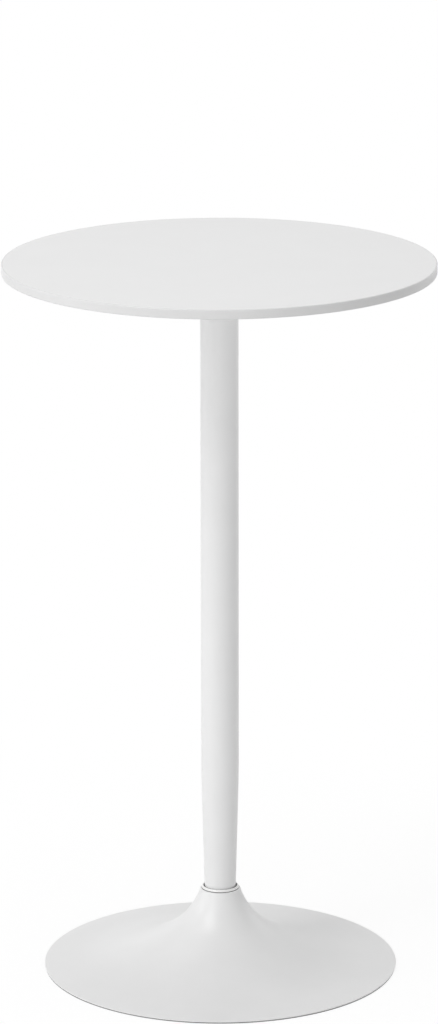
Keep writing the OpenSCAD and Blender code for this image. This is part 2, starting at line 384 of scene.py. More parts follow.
def add_node(
    tree: NodeTree,
    kind: str,
    settings: dict[str, object] | None = None,
    values: dict[str | int, object] | None = None,
    links: dict[str | int, NodeSocket] | None = None,
) -> Node:
    """Add one shader node with its settings, socket values and incoming links.

    Args:
        tree: the node tree that takes it.
        kind: the node's type, such as ShaderNodeTexNoise.
        settings: properties of the node itself.
        values: values of its input sockets, by name or number.
        links: sockets that feed its inputs, by name or number.

    Returns:
        The new node.
    """
    made = tree.nodes.new(kind)
    for key, value in (settings or {}).items():
        setattr(made, key, value)
    for key, value in (values or {}).items():
        made.inputs[key].default_value = value
    for key, source in (links or {}).items():
        tree.links.new(source, made.inputs[key])
    return made


@dataclass(frozen=True)
class Lumps:
    """A pattern of soft lumps, a real distance apart. Its values seldom leave the usual range."""

    USUAL: ClassVar[Range] = (0.3, 0.7)

    apart_mm: float
    detail: float = 2.0
    squeeze: tuple[float, float, float] | None = None

    def draw(self, tree: NodeTree, place: NodeSocket) -> NodeSocket:
        """Add the pattern to a material.

        Args:
            tree: the material's node tree.
            place: the socket that gives Object coordinates in metres.

        Returns:
            The socket that gives the pattern.
        """
        if self.squeeze:
            values = {"Scale": self.squeeze}
            mapping = add_node(tree, "ShaderNodeMapping", values=values, links={"Vector": place})
            place = mapping.outputs["Vector"]
        values = {"Scale": 1 / (self.apart_mm * MM), "Detail": self.detail, "Roughness": 0.5}
        return add_node(tree, "ShaderNodeTexNoise", values=values, links={"Vector": place}).outputs["Fac"]


@dataclass(frozen=True)
class ToolRings(Lumps):
    """Rings about the table's axis, a real distance apart, as a lathe tool leaves them."""

    detail: float = 1.0

    def draw(self, tree: NodeTree, place: NodeSocket) -> NodeSocket:
        """Add the rings to a material.

        Args:
            tree: the material's node tree.
            place: the socket that gives Object coordinates in metres.

        Returns:
            The socket that gives the rings.
        """
        # At a scale of 1 the texture draws this many rings in a metre.
        rings_per_metre = 20 / math.tau
        scale = 1 / (rings_per_metre * self.apart_mm * MM)
        settings = {"wave_type": "RINGS", "rings_direction": "Z"}
        values = {"Scale": scale, "Distortion": 0.4, "Detail": self.detail}
        return add_node(tree, "ShaderNodeTexWave", settings, values, {"Vector": place}).outputs["Fac"]


Shades = tuple[str, str]
Reliefs = tuple[tuple[Lumps, float], ...]


@dataclass(frozen=True)
class Finish:
    """What every finish has: two shades, a range of roughness, reliefs, and the patterns that mix them.

    A relief is a pattern and its depth in millimetres. Each is laid on the one before it.
    """

    name: str
    shades: Shades
    shade_pattern: Lumps
    roughness: Range
    rough_pattern: Lumps
    reliefs: Reliefs
    metal: bool = False
    ior: float = 1.5

    def build(self) -> Material:
        """Make the finish's material.

        Returns:
            The material.
        """
        made = bpy.data.materials.new(self.name)
        tree = fresh_tree(made)
        place = add_node(tree, "ShaderNodeTexCoord").outputs["Object"]
        used = (self.shade_pattern, self.rough_pattern, *(pattern for pattern, _ in self.reliefs))
        drawn = {pattern: pattern.draw(tree, place) for pattern in dict.fromkeys(used)}
        ramp = add_node(tree, "ShaderNodeValToRGB", links={"Fac": drawn[self.shade_pattern]})
        for stop, position, shade in zip(ramp.color_ramp.elements, Lumps.USUAL, self.shades, strict=True):
            stop.position, stop.color = position, linear(shade)
        ends = zip(("From Min", "From Max", "To Min", "To Max"), Lumps.USUAL + self.roughness, strict=True)
        links = {"Value": drawn[self.rough_pattern]}
        level = add_node(tree, "ShaderNodeMapRange", values=dict(ends), links=links)
        shader = add_node(
            tree,
            "ShaderNodeBsdfPrincipled",
            values={"Metallic": 1.0} if self.metal else {"Metallic": 0.0, "IOR": self.ior},
            links={"Base Color": ramp.outputs["Color"], "Roughness": level.outputs["Result"]},
        )
        below: dict[str, NodeSocket] = {}
        for pattern, depth in self.reliefs:
            values = {"Strength": 1.0, "Distance": depth * MM}
            bump = add_node(tree, "ShaderNodeBump", values=values, links={"Height": drawn[pattern], **below})
            below = {"Normal": bump.outputs["Normal"]}
        tree.links.new(below["Normal"], shader.inputs["Normal"])
        add_node(tree, "ShaderNodeOutputMaterial", links={"Surface": shader.outputs["BSDF"]})
        return made


@dataclass(frozen=True)
class Melamine(Finish):
    """White melamine laminate, pressed against a pearl plate: an even white with a fine, dull pearl grain.

    The plate's pearls are about 0.6 mm apart. They are drawn at twice that, so that a close view shows them.
    """

    name: str = "melamine_pearl_white"
    shades: Shades = ("ECECEC", "EEEEEE")
    shade_pattern: Lumps = Lumps(90.0)
    roughness: Range = (0.43, 0.49)
    rough_pattern: Lumps = Lumps(90.0)
    reliefs: Reliefs = ((Lumps(1.2, 3.0), 0.02),)


@dataclass(frozen=True)
class EdgePlastic(Finish):
    """White ABS edging, scraped after gluing: smoother than the sheet, with faint lines round the edge.

    A scraper leaves lines about 0.2 mm apart. They are drawn at 0.5 mm, so that a close view shows them.
    """

    name: str = "abs_edging_white"
    shades: Shades = ("DEDEDE", "E0E0E0")
    shade_pattern: Lumps = Lumps(0.8)
    roughness: Range = (0.36, 0.44)
    rough_pattern: Lumps = Lumps(0.5, squeeze=(0.04, 0.04, 1.0))
    reliefs: Reliefs = ((rough_pattern, 0.012), (shade_pattern, 0.008))


@dataclass(frozen=True)
class Fibreboard(Finish):
    """Medium density fibreboard: fine pressed wood fibre that lies flat, tan with darker flecks."""

    name: str = "fibreboard_raw"
    shades: Shades = ("9C7A4F", "C7A67B")
    shade_pattern: Lumps = Lumps(1.2, 5.0, squeeze=(1.0, 1.0, 4.0))
    roughness: Range = (0.8, 0.9)
    rough_pattern: Lumps = shade_pattern
    reliefs: Reliefs = ((shade_pattern, 0.05),)


@dataclass(frozen=True)
class PowderCoat(Finish):
    """White polyester powder coat, baked on steel: a satin skin with the slow waves called orange peel.

    The waves have their real length, 2 to 4 mm, and twice the depth that they have on good work, so that they
    show.
    """

    name: str = "powder_coat_satin_white"
    shades: Shades = ("ECECEC", "EEEEEE")
    shade_pattern: Lumps = Lumps(60.0)
    roughness: Range = (0.33, 0.37)
    rough_pattern: Lumps = shade_pattern
    reliefs: Reliefs = ((Lumps(3.0, 1.0), 0.03), (Lumps(0.5), 0.003))


@dataclass(frozen=True)
class MouldedPlastic(Finish):
    """White ABS, injection moulded: brighter and smoother than the coat beside it, with a spark grain."""

    name: str = "abs_moulded_white"
    shades: Shades = ("F2F2F1", "F4F4F3")
    shade_pattern: Lumps = Lumps(0.35)
    roughness: Range = (0.27, 0.33)
    rough_pattern: Lumps = shade_pattern
    reliefs: Reliefs = ((shade_pattern, 0.005),)


@dataclass(frozen=True)
class Rubber(Finish):
    """Moulded rubber: matt, with a paler bloom of dust and a fine grain that kills reflections."""

    name: str = "rubber_grey"
    shades: Shades = ("8E8E8F", "9A9A9A")
    shade_pattern: Lumps = Lumps(9.0, 3.0)
    roughness: Range = (0.72, 0.86)
    rough_pattern: Lumps = shade_pattern
    reliefs: Reliefs = ((Lumps(0.6, 3.0), 0.02),)


@dataclass(frozen=True)
class CastIron(Finish):
    """Grey iron, sand cast and dipped in black primer: a sandy skin over lumps, paler where it is worn."""

    name: str = "cast_iron_primed"
    shades: Shades = ("343537", "4A4B4D")
    shade_pattern: Lumps = Lumps(14.0, 3.0)
    roughness: Range = (0.56, 0.76)
    rough_pattern: Lumps = Lumps(1.4, 4.0)
    reliefs: Reliefs = ((shade_pattern, 0.25), (rough_pattern, 0.16))


@dataclass(frozen=True)
class ZincSteel(Finish):
    """Steel with a bright zinc plating, passivated blue: clouds of cool and warm grey, and tumbling marks."""

    name: str = "zinc_plated_steel"
    shades: Shades = ("BFC6CC", "D2CFC4")
    shade_pattern: Lumps = Lumps(5.0)
    roughness: Range = (0.26, 0.42)
    rough_pattern: Lumps = Lumps(0.7, 3.0)
    reliefs: Reliefs = ((rough_pattern, 0.006),)
    metal: bool = True


@dataclass(frozen=True)
class TurnedSteel(Finish):
    """Plain steel, turned on a lathe and oiled: a darker metal with rings left by the tool.

    The rings are about 0.2 mm apart. They are drawn at 0.6 mm, so that a close view shows them.
    """

    name: str = "turned_steel_oiled"
    shades: Shades = ("7F8284", "999C9E")
    shade_pattern: Lumps = Lumps(8.0, 3.0)
    roughness: Range = (0.28, 0.46)
    rough_pattern: Lumps = shade_pattern
    reliefs: Reliefs = ((ToolRings(0.6), 0.01),)
    metal: bool = True


@dataclass(frozen=True)
class Brass(Finish):
    """Machined brass: warm yellow metal that is darker and duller where it has tarnished."""

    name: str = "brass_machined"
    shades: Shades = ("A98748", "C8A55C")
    shade_pattern: Lumps = Lumps(2.5, 3.0)
    roughness: Range = (0.46, 0.28)
    rough_pattern: Lumps = shade_pattern
    reliefs: Reliefs = ((shade_pattern, 0.008),)
    metal: bool = True


class Surface(Enum):
    """The finishes of the table, each with the record's material slot that it belongs to."""

    TOP = ("melamine_white", Melamine())
    EDGE = ("edge_plastic", EdgePlastic())
    BOARD = ("fibreboard", Fibreboard())
    COAT = ("powder_white", PowderCoat())
    RING = ("ring_plastic", MouldedPlastic())
    # The seal's dark grey is partly its own rubber colour and partly painted shade, darkened to give the
    # shadowed groove under the trim ring.
    SEAL = ("seal_rubber", Rubber("rubber_grey_dark_painted_groove_shade", ("636364", "6C6C6D")))
    FLOOR_RUBBER = ("floor_rubber", Rubber())
    IRON = ("iron", CastIron())
    ZINC = ("zinc_steel", ZincSteel())
    STEEL = ("bare_steel", TurnedSteel())
    BRASS = ("insert_brass", Brass())

    @property
    def slot(self) -> str:
        """Name of the record's material slot."""
        return self.value[0]

    def material(self) -> Material:
        """The finish's material, made once."""
        finish = self.value[1]
        return bpy.data.materials.get(finish.name) or finish.build()


def dress(piece: Object, surface: Surface) -> Object:
    """Give a piece one finish all over.

    Args:
        piece: the object to dress.
        surface: its finish.

    Returns:
        The same object.
    """
    piece.data.materials.clear()
    piece.data.materials.append(surface.material())
    return piece


def dress_node(node: str, surface: Surface) -> Object:
    """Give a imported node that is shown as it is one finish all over."""
    return dress(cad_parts[node], surface)


def make_piece(name: str, bm: BMesh, surface: Surface, node: str, sharp_degrees: float = 35.0) -> Object:
    """Make a dressed piece from a bmesh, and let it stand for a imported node.

    Args:
        name: the piece's name.
        bm: its shape, which is freed.
        surface: its finish.
        node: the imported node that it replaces.
        sharp_degrees: edges that bend more than this stay sharp.

    Returns:
        The piece.
    """
    piece = dress(finish_mesh(name, bm, sharp_degrees), surface)
    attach(piece, BODY)
    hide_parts(node)
    return piece


# Sub-assemblies


@dataclass(frozen=True)
class ScrewCircle:
    """The circle of screws that hold the plate to the top."""

    radius: float = 100.0
    count: int = 4

    def places(self) -> list[Matrix]:
        """Where each screw's axis stands."""
        out = Matrix.Translation((self.radius * MM, 0.0, 0.0))
        return [Matrix.Rotation(math.tau * (i + 0.5) / self.count, 4, "Z") @ out for i in range(self.count)]

    def holes(self, radius: float) -> list[tuple[Matrix, float]]:
        """One hole of a given radius for each screw."""
        return [(place, radius) for place in self.places()]


@dataclass
class Tabletop:
    """Laminated round top: the board with its inserts, two sheets, and the edging around them."""

    radius: float = 300.0
    edging: float = 2.0
    edging_round: float = 1.4
    edging_back_round: float = 0.1
    sheet_gap: float = 0.03
    sheet_round: float = 0.08
    insert_hole: float = 5.1
    around: int = 256
    circle: ScrewCircle = ScrewCircle()

    def build(self) -> list[Object]:
        """Model and dress the pieces of the top.

        Returns:
            The pieces.
        """
        return [
            self.top_sheet(),
            self.backing_sheet(),
            self.edging_strip(),
            dress_node("tabletop_core", Surface.BOARD),
            dress_node("threaded_inserts", Surface.BRASS),
        ]

    @property
    def sheet_radius(self) -> float:
        """Radius of both sheets, which end a hairline short of the edging."""
        return self.radius - self.edging - self.sheet_gap

    def top_sheet(self) -> Object:
        """The laminate that carries glasses and plates.

        Returns:
            The sheet.
        """
        rounds = (0.0, self.sheet_round, self.sheet_round, 0.0)
        section = flat_section("top_laminate", 0.0, self.sheet_radius, rounds)
        bm = turned_bmesh(section, self.around, round_steps=2)
        return make_piece("top_sheet", bm, Surface.TOP, "top_laminate")

    def backing_sheet(self) -> Object:
        """The laminate on the underside, open where the inserts pass.

        Returns:
            The sheet.
        """
        holes = self.circle.holes(self.insert_hole)
        bm = drilled_disc("backing_laminate", self.sheet_radius, holes, self.around)
        return make_piece("backing_sheet", bm, Surface.TOP, "backing_laminate")

    def edging_strip(self) -> Object:
        """The plastic strip around the board, with its long outer corners rounded.

        Returns:
            The strip.
        """
        rounds = (self.edging_back_round, self.edging_round, self.edging_round, self.edging_back_round)
        section = flat_section("edge_band", self.radius - self.edging, self.radius, rounds)
        bm = turned_bmesh(section, self.around, round_steps=8)
        return make_piece("edging_strip", bm, Surface.EDGE, "edge_band")


@dataclass
class PlateFixing:
    """Steel plate under the top, with its screws and washers. Socket depths count from the dome's top."""

    plate_radius: float = 120.0
    plate_chamfer: float = 1.0
    screw_hole: float = 3.3
    nose_hole: float = 13.1
    washer_radius: float = 7.0
    washer_rounds: tuple[float, ...] = (0.15, 0.3, 0.15, 0.15)
    head_radius: float = 5.5
    head_undercut: float = 0.25
    dome_steps: int = 7
    socket_flats: float = 4.0
    socket_depths: tuple[float, ...] = (2.0, 0.3, 0.12)
    socket_lip: float = 0.35
    shank_radius: float = 3.0
    tip_chamfer: float = 0.6
    screw_steps: int = 24
    around: int = 160
    circle: ScrewCircle = ScrewCircle()

    def build(self) -> list[Object]:
        """Model and dress the plate, washers and screws."""
        return [self.plate(), self.washers(), self.screws()]

    def plate(self) -> Object:
        """Round plate, chamfered below, with its middle hole and screw holes cut through.

        Returns:
            The plate.
        """
        holes = [*self.circle.holes(self.screw_hole), (Matrix.Identity(4), self.nose_hole)]
        bm = drilled_disc("mounting_plate", self.plate_radius, holes, self.around)
        inside = self.plate_radius * MM - SAME_PLACE
        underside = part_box("mounting_plate")[0].z + SAME_PLACE
        rim = [e for e in bm.edges if all(v.co.xy.length > inside and v.co.z < underside for v in e.verts)]
        bmesh.ops.bevel(
            bm,
            geom=rim,
            offset=self.plate_chamfer * MM,
            offset_type="OFFSET",
            affect="EDGES",
            segments=3,
            profile=0.5,
            material=-1,
        )
        return make_piece("mounting_plate_coated", bm, Surface.COAT, "mounting_plate")

    def washers(self) -> Object:
        """Flat washers with softened edges.

        Returns:
            The washers.
        """
        section = flat_section("plate_washers", self.screw_hole, self.washer_radius, self.washer_rounds)
        one = turned_bmesh(section, around=48, round_steps=3)
        bm = joined(one, places=self.circle.places())
        return make_piece("flat_washers", bm, Surface.ZINC, "plate_washers")

    def screws(self) -> Object:
        """Domed socket screws, each a row of rings from the floor of its socket to its tip.

        Returns:
            The screws.
        """
        low, high = span("plate_screws")
        seat, _ = span("plate_washers")
        sphere = (self.head_radius**2 + (seat - low) ** 2) / (2 * (seat - low))
        lip = self.socket_flats / 2 / math.cos(math.pi / 6) + self.socket_lip
        bm = bmesh.new()
        rings = [self.socket_ring(bm, low + depth) for depth in self.socket_depths]
        for i in range(self.dome_steps + 1):
            radius = lip + (self.head_radius - lip) * i / self.dome_steps
            rise = sphere - math.sqrt(sphere**2 - radius**2)
            rings.append(add_ring(bm, radius, low + rise, self.screw_steps))
        for radius, height in (
            (self.head_radius - self.head_undercut, seat),
            (self.shank_radius, seat),
            (self.shank_radius, high - self.tip_chamfer),
            (self.shank_radius - self.tip_chamfer, high),
        ):
            rings.append(add_ring(bm, radius, height, self.screw_steps))
        for near, far in zip(rings, rings[1:]):
            bmesh.ops.bridge_loops(bm, edges=near + far)
        for end in (rings[0], rings[-1]):
            bmesh.ops.edgeloop_fill(bm, edges=end)
        close_up(bm)
        bm = joined(bm, places=self.circle.places())
        return make_piece("socket_screws", bm, Surface.ZINC, "plate_screws")

    def socket_ring(self, bm: BMesh, height: float) -> list[BMEdge]:
        """Add one level ring that is drawn out to the socket's hexagon.

        Args:
            bm: the bmesh that takes it.
            height: its height.

        Returns:
            The ring's edges.
        """
        edges = add_ring(bm, self.socket_flats / 2, height, self.screw_steps)
        for vert in {vert for edge in edges for vert in edge.verts}:
            turn = math.atan2(vert.co.y, vert.co.x) % (math.pi / 3) - math.pi / 6
            vert.co.xy = vert.co.xy / math.cos(turn)
        return edges


@dataclass
class Column:
    """Round tube drawn down to its foot, and the spigots inside it."""

    radius: float = 26.5
    foot_radius: float = 22.0
    wall: float = 1.5
    taper: float = 140.0
    blend: float = 60.0
    blend_steps: int = 20
    end_round: float = 0.3
    around: int = 128

    def radius_at(self, height: float) -> float:
        """Outer radius of the tube.

        Args:
            height: height above the tube's lower end.

        Returns:
            The radius there.
        """
        slope = (self.radius - self.foot_radius) / (self.taper + self.blend / 2)
        if height <= self.taper:
            return self.foot_radius + slope * height
        left = max(self.taper + self.blend - height, 0.0)
        return self.radius - slope * left**2 / (2 * self.blend)

    def build(self) -> list[Object]:
        """Model and dress the tube, and dress what it hides.

        Returns:
            The pieces.
        """
        return [
            self.tube(),
            dress_node("top_spigot", Surface.STEEL),
            dress_node("neck_spigot", Surface.STEEL),
        ]

    def tube(self) -> Object:
        """Tube that narrows in a straight taper, with a soft bend where the taper ends.

        Returns:
            The tube.
        """
        low, high = span("column_tube")
        heights = [self.taper + self.blend * i / self.blend_steps for i in range(self.blend_steps + 1)]
        outside = [Corner(self.radius_at(height), low + height) for height in heights]
        corners = [
            Corner(self.foot_radius - self.wall, low, self.end_round),
            Corner(self.foot_radius, low, self.end_round),
            *outside,
            Corner(self.radius, high, self.end_round),
            Corner(self.radius - self.wall, high, self.end_round),
            *(Corner(corner.r - self.wall, corner.z) for corner in reversed(outside)),
        ]
        bm = turned_bmesh(corners, self.around, round_steps=3)
        return make_piece("column_tube_coated", bm, Surface.COAT, "column_tube")


@dataclass
class Collar:
    """Sloping trim ring around the foot of the column, and the seal under it."""

    column: Column
    foot_round: float = 0.4
    bore_round: float = 0.1
    edge: float = 1.4
    gap: float = 1.7
    seal_thickness: float = 1.0
    seal_edge_round: float = 0.2
    sleeve_round: float = 0.25
    sleeve_gap: float = 0.3
    around: int = 160

    def build(self) -> list[Object]:
        """Model and dress the ring and its seal."""
        return [self.ring(), self.seal()]

    def bore(self, node: str, gap: float) -> float:
        """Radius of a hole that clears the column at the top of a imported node.

        Args:
            node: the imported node.
            gap: the width that stays free there.

        Returns:
            The hole's radius.
        """
        return self.column.radius_at(span(node)[1] - span("column_tube")[0]) + gap

    def ring(self) -> Object:
        """The white ring, with a fully rounded upper edge.

        Returns:
            The ring.
        """
        low, high = span("trim_ring")
        bore = self.bore("trim_ring", self.gap)
        half = self.edge / 2
        corners = [
            Corner(bore, low, self.bore_round),
            Corner(reach("trim_ring"), low, self.foot_round),
            *arc((bore + half, high - half), half, 0.0, 180.0, steps=12),
        ]
        bm = turned_bmesh(corners, self.around, round_steps=6)
        return make_piece("trim_ring_moulded", bm, Surface.RING, "trim_ring")

    def seal(self) -> Object:
        """The dark seal: a thin flange that shows as a line, and a sleeve that fills the gap inside the ring.
        Its dark grey is partly the rubber's own colour and partly painted shade of the groove under the ring
        and of the gap inside it.

        Returns:
            The seal.
        """
        low, high = span("ring_seal")
        bore = self.bore("ring_seal", self.sleeve_gap)
        sleeve = self.bore("trim_ring", self.gap) - self.sleeve_gap
        flange = low + self.seal_thickness
        corners = [
            Corner(bore, low),
            Corner(reach("ring_seal"), low, self.seal_edge_round),
            Corner(reach("ring_seal"), flange, self.seal_edge_round),
            Corner(sleeve, flange),
            Corner(sleeve, high, self.sleeve_round),
            Corner(bore, high, self.sleeve_round),
        ]
        bm = turned_bmesh(corners, self.around, round_steps=4)
        return make_piece("neck_seal", bm, Surface.SEAL, "ring_seal")


@dataclass
class TrumpetBase:
    """Spun shell with its floor ring. Slopes are in degrees from the horizontal."""

    radius: float = 250.0
    sheet: float = 1.5
    disc_slope: float = 3.5
    flare: float = 269.0
    flare_slope: float = 36.4
    flare_steps: int = 30
    neck_flare: float = 107.0
    neck_slope: float = 72.2
    neck_steps: int = 26
    neck_radius: float = 28.8
    bend: float = 2.2
    bend_steps: tuple[int, int] = (8, 5)
    rim_steps: int = 10
    shell_sharp: float = 50.0
    ledge_hole: float = 20.5
    ring_inset: float = 0.6
    ring_width: float = 14.0
    groove_places: tuple[float, float] = (0.35, 0.65)
    groove_width: float = 1.6
    groove_depth: float = 0.5
    groove_round: float = 0.12
    around: int = 192

    def build(self) -> list[Object]:
        """Model and dress the shell and the ring under it."""
        return [self.shell(), self.floor_ring()]

    def centers(self) -> tuple[Point, Point, Point]:
        """Centres of the round stretches of the shell, each of which runs smoothly into the next.

        Returns:
            Radius and height of the centre of the bend, of the neck's flare and of the wide flare.
        """
        ledge = span("base_shell")[1]
        inset = self.bend * math.sin(math.radians(self.neck_slope))
        bend = (self.neck_radius - inset, ledge - self.bend)
        neck = along(bend, self.neck_slope, self.bend + self.neck_flare)
        return bend, neck, along(neck, self.flare_slope, self.flare - self.neck_flare)

    def sheet_face(self, depth: float, bend_steps: int) -> list[Corner]:
        """One face of the sheet, from the ledge to the disc.

        Args:
            depth: how far it lies under the upper face.
            bend_steps: number of straight pieces in the small bend.

        Returns:
            Its corners, from the inside out.
        """
        bend, neck, flare = self.centers()
        down = 270.0
        neck_end, flare_end, disc = down - self.neck_slope, down - self.flare_slope, down - self.disc_slope
        return [
            *arc(bend, self.bend - depth, 90.0, 90.0 - self.neck_slope, bend_steps),
            *arc(neck, self.neck_flare + depth, neck_end, flare_end, self.neck_steps),
            *arc(flare, self.flare + depth, flare_end, disc, self.flare_steps)[1:],
        ]

    def shell(self) -> Object:
        """Ledge, neck bend, two flares and the shallow disc, as one sheet with a rounded rim.

        Returns:
            The shell.
        """
        ledge = span("base_shell")[1]
        upper = self.sheet_face(0.0, self.bend_steps[0])
        lower = self.sheet_face(self.sheet, self.bend_steps[1])
        half = self.sheet / 2
        slope = math.radians(self.disc_slope)
        rim = self.radius - half
        rim_height = upper[-1].z - (rim - upper[-1].r) * math.tan(slope) - half / math.cos(slope)
        corners = [
            Corner(self.ledge_hole, ledge),
            *upper,
            *arc((rim, rim_height), half, 90.0 - self.disc_slope, -90.0 - self.disc_slope, self.rim_steps),
            *reversed(lower),
            Corner(self.ledge_hole, ledge - self.sheet),
        ]
        bm = turned_bmesh(corners, self.around)
        return make_piece("trumpet_shell", bm, Surface.COAT, "base_shell", self.shell_sharp)

    def floor_ring(self) -> Object:
        """Rubber ring with a face that follows the sheet above it and two grooves that grip the floor.

        Returns:
            The ring.
        """
        low, inner_top = span("floor_ring")
        outer = self.radius - self.ring_inset
        inner = outer - self.ring_width
        outer_top = inner_top - self.ring_width * math.tan(math.radians(self.disc_slope))
        grooves = [inner + self.ring_width * share for share in self.groove_places]
        corners = [
            Corner(inner, low, round=0.3),
            *(corner for middle in grooves for corner in self.groove(middle, low)),
            Corner(outer, low, round=0.35),
            Corner(outer, outer_top, round=0.15),
            Corner(inner, inner_top, round=0.2),
        ]
        bm = turned_bmesh(corners, self.around, round_steps=4)
        return make_piece("floor_ring_moulded", bm, Surface.FLOOR_RUBBER, "floor_ring")

    def groove(self, middle: float, low: float) -> list[Corner]:
        """Corners of one groove in the floor ring's underside.

        Args:
            middle: radius of the groove's middle.
            low: height of the underside.

        Returns:
            Its four corners, from the inside out.
        """
        deep = low + self.groove_depth
        inner, outer = middle - self.groove_width / 2, middle + self.groove_width / 2
        places = ((inner, low), (inner, deep), (outer, deep), (outer, low))
        return [Corner(r, z, self.groove_round) for r, z in places]


@dataclass
class Ballast:
    """Iron weight under the shell, and the washers, nut and rod that hold it."""

    boss_radius: float = 80.0
    rim_height: float = 4.0
    recess_radius: float = 27.0
    recess_depth: float = 16.5
    rod_hole: float = 6.3
    washer_radius: float = 21.0
    washer_rounds: tuple[float, ...] = (0.3, 0.5, 0.3, 0.3)
    spring_width: float = 4.0
    spring_split: float = 12.0
    spring_round: float = 0.35
    nut_flats: float = 19.0
    nut_gap: float = 0.1
    mouth_width: float = 0.7
    mouth_depth: float = 0.6
    nut_face_inset: float = 0.2
    nut_chamfer: float = 30.0
    nut_sharp: float = 20.0
    rod: float = 6.0
    rod_chamfer: float = 1.0
    tip_chamfer: float = 0.6
    pitch: float = 1.75
    thread_depth: float = 0.9
    thread_length: float = 30.0
    thread_margins: tuple[float, float] = (0.8, 0.5)
    thread_sink: float = 0.05
    thread_shares: tuple[float, float, float] = (0.42, 0.54, 0.96)
    thread_steps: int = 40
    around: int = 160

    def build(self) -> list[Object]:
        """Model and dress the weight and its fixings."""
        return [self.weight(), self.washer(), self.spring(), self.nut(), self.tie_rod()]

    def weight(self) -> Object:
        """Cast disc with a thick middle and a recess below.

        Returns:
            The weight.
        """
        low, high = span("counterweight")
        rim = reach("counterweight")
        corners = [
            Corner(self.rod_hole, low + self.recess_depth),
            Corner(self.recess_radius, low + self.recess_depth, round=1.2),
            Corner(self.recess_radius, low, round=0.8),
            Corner(rim, low, round=1.0),
            Corner(rim, low + self.rim_height, round=0.8),
            Corner(self.boss_radius, low + self.rim_height, round=3.0),
            Corner(self.boss_radius, high, round=2.0),
            Corner(self.rod_hole, high),
        ]
        bm = turned_bmesh(corners, self.around)
        return make_piece("iron_weight", bm, Surface.IRON, "counterweight")

    def washer(self) -> Object:
        """Wide flat washer.

        Returns:
            The washer.
        """
        section = flat_section("base_washer", self.rod_hole, self.washer_radius, self.washer_rounds)
        bm = turned_bmesh(section, around=96, round_steps=4)
        return make_piece("wide_washer", bm, Surface.ZINC, "base_washer")

    def spring(self) -> Object:
        """Split spring washer, turned almost all the way round and closed at its ends.

        Returns:
            The washer.
        """
        outer = self.rod_hole + self.spring_width
        section = flat_section("spring_washer", self.rod_hole, outer, (self.spring_round,) * 4)
        bm = wound_bmesh(section, turns=1 - self.spring_split / 360, rise=0.0, steps=60, round_steps=3)
        return make_piece("split_washer", bm, Surface.STEEL, "spring_washer")

    def nut(self) -> Object:
        """Hexagon nut: a chamfered round blank with six flats cut on it.

        Returns:
            The nut.
        """
        low, high = span("rod_nut")
        flat = self.nut_flats / 2
        corner = flat / math.cos(math.pi / 6)
        bore = self.rod + self.nut_gap
        half = (
            (bore, self.mouth_depth),
            (bore + self.mouth_width, 0.0),
            (flat - self.nut_face_inset, 0.0),
            (corner, (corner - flat) * math.tan(math.radians(self.nut_chamfer))),
        )
        below = [Corner(r, low + depth) for r, depth in half]
        above = [Corner(r, high - depth) for r, depth in reversed(half)]
        bm = turned_bmesh(below + above, around=144)
        for i in range(6):
            normal = Matrix.Rotation(math.tau * (i + 0.5) / 6, 3, "Z") @ Vector((1.0, 0.0, 0.0))
            cut = bmesh.ops.bisect_plane(
                bm,
                geom=bm.verts[:] + bm.edges[:] + bm.faces[:],
                dist=SAME_PLACE,
                plane_co=normal * flat * MM,
                plane_no=normal,
                clear_outer=True,
            )
            edges = [item for item in cut["geom_cut"] if isinstance(item, BMEdge)]
            bmesh.ops.edgeloop_fill(bm, edges=edges)
        close_up(bm)
        return make_piece("hexagon_nut", bm, Surface.ZINC, "rod_nut", self.nut_sharp)

    def tie_rod(self) -> Object:
        """Rod with a screwed length at its lower end. Its plain length runs up inside the column.

        Returns:
            The rod.
        """
        low, high = span("tie_rod")
        root = self.rod - self.thread_depth
        thread_top = low + self.thread_length
        corners = [
            Corner(0.0, low),
            Corner(root - self.tip_chamfer, low),
            Corner(root, low + self.tip_chamfer),
            Corner(root, thread_top),
            Corner(self.rod, thread_top + self.rod_chamfer),
            Corner(self.rod, high - self.rod_chamfer),
            Corner(self.rod - self.rod_chamfer, high),
            Corner(0.0, high),
        ]
        start, stop = self.thread_margins
        thread = self.thread(root - self.thread_sink, low + start, thread_top - stop)
        bm = joined(turned_bmesh(corners, around=64), thread)
        return make_piece("screwed_rod", bm, Surface.ZINC, "tie_rod")

    def thread(self, foot: float, low: float, high: float) -> BMesh:
        """Wind one screw thread. Its section's heights are shares of the pitch.

        Args:
            foot: radius of the thread's foot, just inside the rod.
            low: height where it starts.
            high: height where it ends.

        Returns:
            A bmesh of the thread.
        """
        crest_low, crest_high, foot_high = (low + self.pitch * share for share in self.thread_shares)
        section = [
            Corner(foot, low),
            Corner(self.rod, crest_low),
            Corner(self.rod, crest_high),
            Corner(foot, foot_high),
        ]
        rise = high - low - self.pitch
        return wound_bmesh(section, rise / self.pitch, rise, int(rise / self.pitch * self.thread_steps))


# Studio


@dataclass(frozen=True)
class Lamp:
    """A soft box lamp. Lengths in metres, angles in degrees: round from the camera to its left, and up."""

    name: str
    around: float
    up: float
    watts: float
    width: float = 1.6
    height: float = 1.6
    distance: float = 3.2

    def build(self, target: Vector) -> None:
        """Stand the lamp up, facing its target and out of the camera's sight.

        Args:
            target: the point that it faces.
        """
        around, up = math.radians(self.around), math.radians(self.up)
        aim = Vector((-math.sin(around) * math.cos(up), -math.cos(around) * math.cos(up), math.sin(up)))
        data = bpy.data.lights.new(self.name, "AREA")
        data.shape = "RECTANGLE"
        data.size, data.size_y = self.width, self.height
        data.energy = self.watts
        lamp = bpy.data.objects.new(self.name, data)
        bpy.context.scene.collection.objects.link(lamp)
        turn = aim.to_track_quat("Z", "Y").to_matrix().to_4x4()
        lamp.matrix_world = Matrix.Translation(target + self.distance * aim) @ turn
        lamp.visible_camera = False


